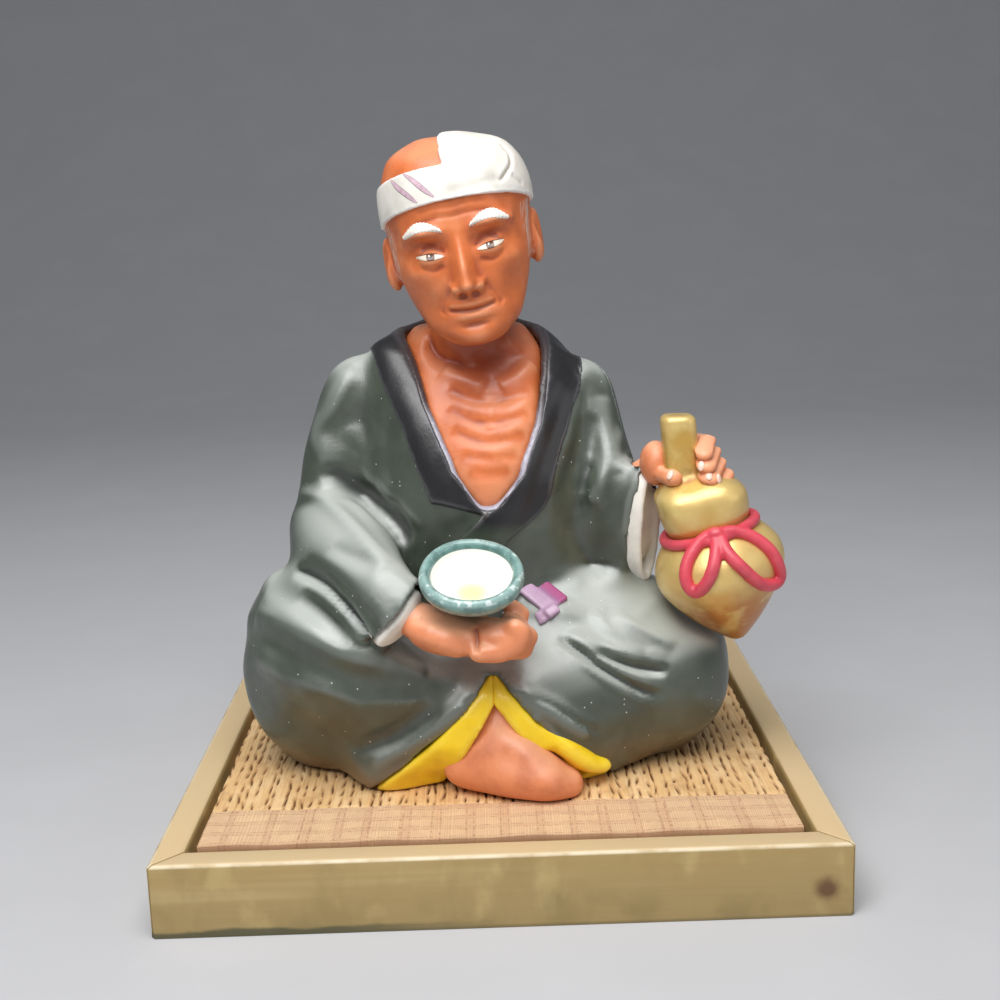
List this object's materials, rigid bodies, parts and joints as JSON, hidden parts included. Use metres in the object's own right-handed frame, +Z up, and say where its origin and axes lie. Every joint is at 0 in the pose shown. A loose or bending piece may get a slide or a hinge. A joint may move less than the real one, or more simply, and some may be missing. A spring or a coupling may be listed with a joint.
{
  "type": "seated man figurine",
  "caption": "Painted clay figurine of an old man seated cross-legged in a robe, holding a cup and a gourd bottle, on a wood-framed stand with a rush mat.",
  "frame": {"origin": "centre of the stand's underside", "axes": "+Z up, -Y the way the figure faces, +X towards the figure's left hand"},
  "size_m": [0.18, 0.18, 0.2016],
  "materials": {
    "rail_wood": "planed, satin",
    "panel_board": "bare board",
    "rush": "twined dry rush",
    "binding_cloth": "fine check weave",
    "robe_paint": "satin paint on fired clay",
    "collar_paint": "satin paint on fired clay",
    "under_robe_paint": "satin paint on fired clay",
    "skin_paint": "satin paint on fired clay",
    "white_paint": "matt chalk paint on fired clay",
    "sash_paint": "satin paint on fired clay",
    "lining_paint": "satin paint on fired clay",
    "cup_paint": "gloss paint on fired clay",
    "gourd_paint": "gold paint on fired clay",
    "cord_paint": "satin paint on fired clay"
  },
  "bodies": {
    "stand": {"front_rail": "rail_wood", "right_rail": "rail_wood", "rear_rail": "rail_wood", "left_rail": "rail_wood", "base_panel": "panel_board", "mat_core": "panel_board", "rush_mat": "rush", "front_binding": "binding_cloth", "rear_binding": "binding_cloth"},
    "figure": {"robe_body": "robe_paint", "collar_band": "collar_paint", "under_collar": "under_robe_paint", "chest": "skin_paint", "head": "skin_paint", "headcloth": "white_paint", "sash": "sash_paint", "sash_knot": "sash_paint", "foot": "skin_paint", "right_hem": "lining_paint", "left_hem": "lining_paint", "right_cuff": "white_paint", "left_cuff": "white_paint", "right_hand": "skin_paint", "left_hand": "skin_paint", "cup": "cup_paint", "gourd": "gourd_paint", "gourd_cord": "cord_paint"}
  },
  "joints": [
    {"name": "figure_lift", "type": "slide", "parent": "stand", "child": "figure", "axis": [0, 0, 1], "range_m": [0, 0.05]}
  ]
}
